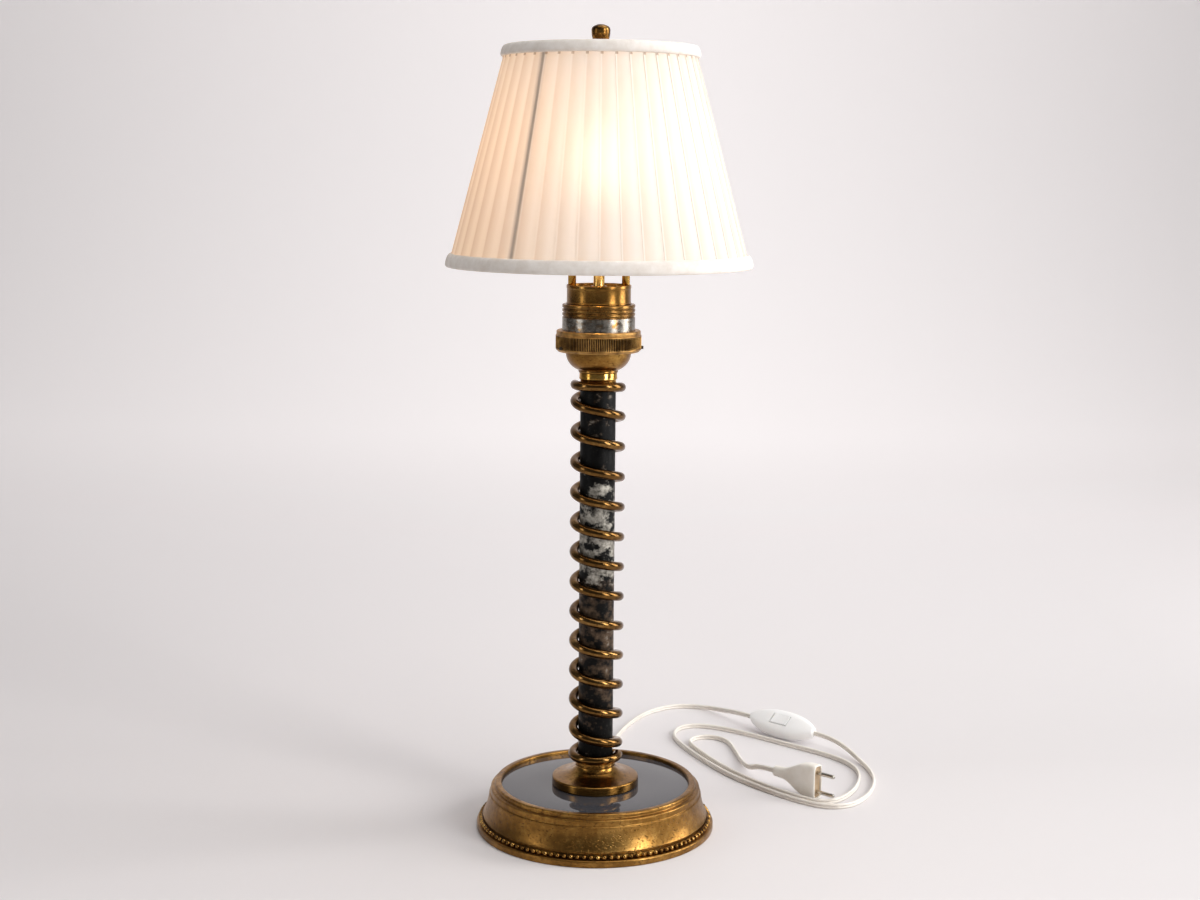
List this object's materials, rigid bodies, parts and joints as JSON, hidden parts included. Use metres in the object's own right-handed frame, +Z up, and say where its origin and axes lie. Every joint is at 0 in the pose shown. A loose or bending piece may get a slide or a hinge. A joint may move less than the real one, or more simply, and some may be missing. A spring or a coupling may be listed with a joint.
{
  "type": "candlestick table lamp",
  "caption": "Candlestick table lamp: beaded brass base with black glass, iron column wound with a brass rod, pleated shade, cord with switch and plug.",
  "frame": {"origin": "on the column's axis at the level of the table, under the middle of the base", "axes": "+Z up along the column, -Y towards the viewer of the picture, +X to the right"},
  "size_m": [0.4197, 0.5073, 0.73],
  "materials": {
    "aged_brass": "old brass, warm and dull with brown in the hollows",
    "black_glass": "black glass, polished",
    "cast_weight": "raw casting",
    "plate_steel": "zinc plated sheet",
    "felt": "pressed wool felt",
    "patina_iron": "dark patina with worn silvery patches",
    "porcelain": "socket insulator",
    "bulb_glass": "frosted warm glass",
    "pleated_cloth": "cream pleated cloth",
    "trim_cloth": "off-white bias binding",
    "painted_wire": "white enamelled wire",
    "white_pvc": "white flexible PVC",
    "white_plastic": "white moulded plastic",
    "plug_plastic": "off-white moulded plastic",
    "nickel": "nickel plated brass"
  },
  "bodies": {
    "lamp": {"base_shell": "aged_brass", "bead_border": "aged_brass", "glass_disc": "black_glass", "felt_pad": "felt", "bottom_plate": "plate_steel", "base_weight": "cast_weight", "foot_collar": "aged_brass", "foot_washer": "plate_steel", "foot_nut": "plate_steel", "column_tube": "patina_iron", "spiral_rod": "aged_brass", "threaded_pipe": "aged_brass", "neck_ferrule": "aged_brass", "holder_cup": "aged_brass", "holder_barrel": "aged_brass", "gallery_sleeve": "aged_brass", "gallery_deck": "aged_brass", "support_rod_left": "aged_brass", "support_rod_right": "aged_brass", "support_nuts": "aged_brass", "deck_nut": "aged_brass", "top_bridge": "aged_brass", "shade_stud": "aged_brass", "stud_nut": "aged_brass", "socket_shell": "aged_brass", "socket_core": "porcelain", "screw_shell": "aged_brass", "centre_contact": "aged_brass", "cord_bush": "white_plastic", "cord_lead": "white_pvc", "cord_loops": "white_pvc", "inner_cord": "white_pvc", "switch_lower": "white_plastic", "switch_upper": "white_plastic", "rocker_pin": "nickel", "plug_body": "plug_plastic", "plug_pins": "nickel"},
    "finial": {"finial": "aged_brass"},
    "shade": {"shade_fabric": "pleated_cloth", "bottom_trim": "trim_cloth", "top_trim": "trim_cloth", "bottom_hoop": "painted_wire", "top_hoop": "painted_wire", "shade_ribs": "painted_wire", "spider": "painted_wire"},
    "bulb": {"bulb_cap": "nickel", "bulb_glass": "bulb_glass"},
    "union_ring": {"fluted_ring": "aged_brass", "ring_screws": "plate_steel"},
    "rocker": {"switch_rocker": "white_plastic"}
  },
  "joints": [
    {"name": "finial_turn", "type": "hinge", "parent": "lamp", "child": "finial", "pos_m": [0, 0, 0.72], "axis": [0, 0, 1], "continuous": true},
    {"name": "shade_turn", "type": "hinge", "parent": "lamp", "child": "shade", "pos_m": [0, 0, 0.7063], "axis": [0, 0, 1], "continuous": true},
    {"name": "bulb_turn", "type": "hinge", "parent": "lamp", "child": "bulb", "pos_m": [0, 0, 0.56], "axis": [0, 0, 1], "continuous": true},
    {"name": "ring_turn", "type": "hinge", "parent": "lamp", "child": "union_ring", "pos_m": [0, 0, 0.45], "axis": [0, 0, 1], "continuous": true},
    {"name": "switch_rock", "type": "hinge", "parent": "lamp", "child": "rocker", "pos_m": [0.20082, 0.26475, 0.01571], "axis": [0.5414, 0.5725, 0.6157], "range_deg": [-7, 7]}
  ]
}
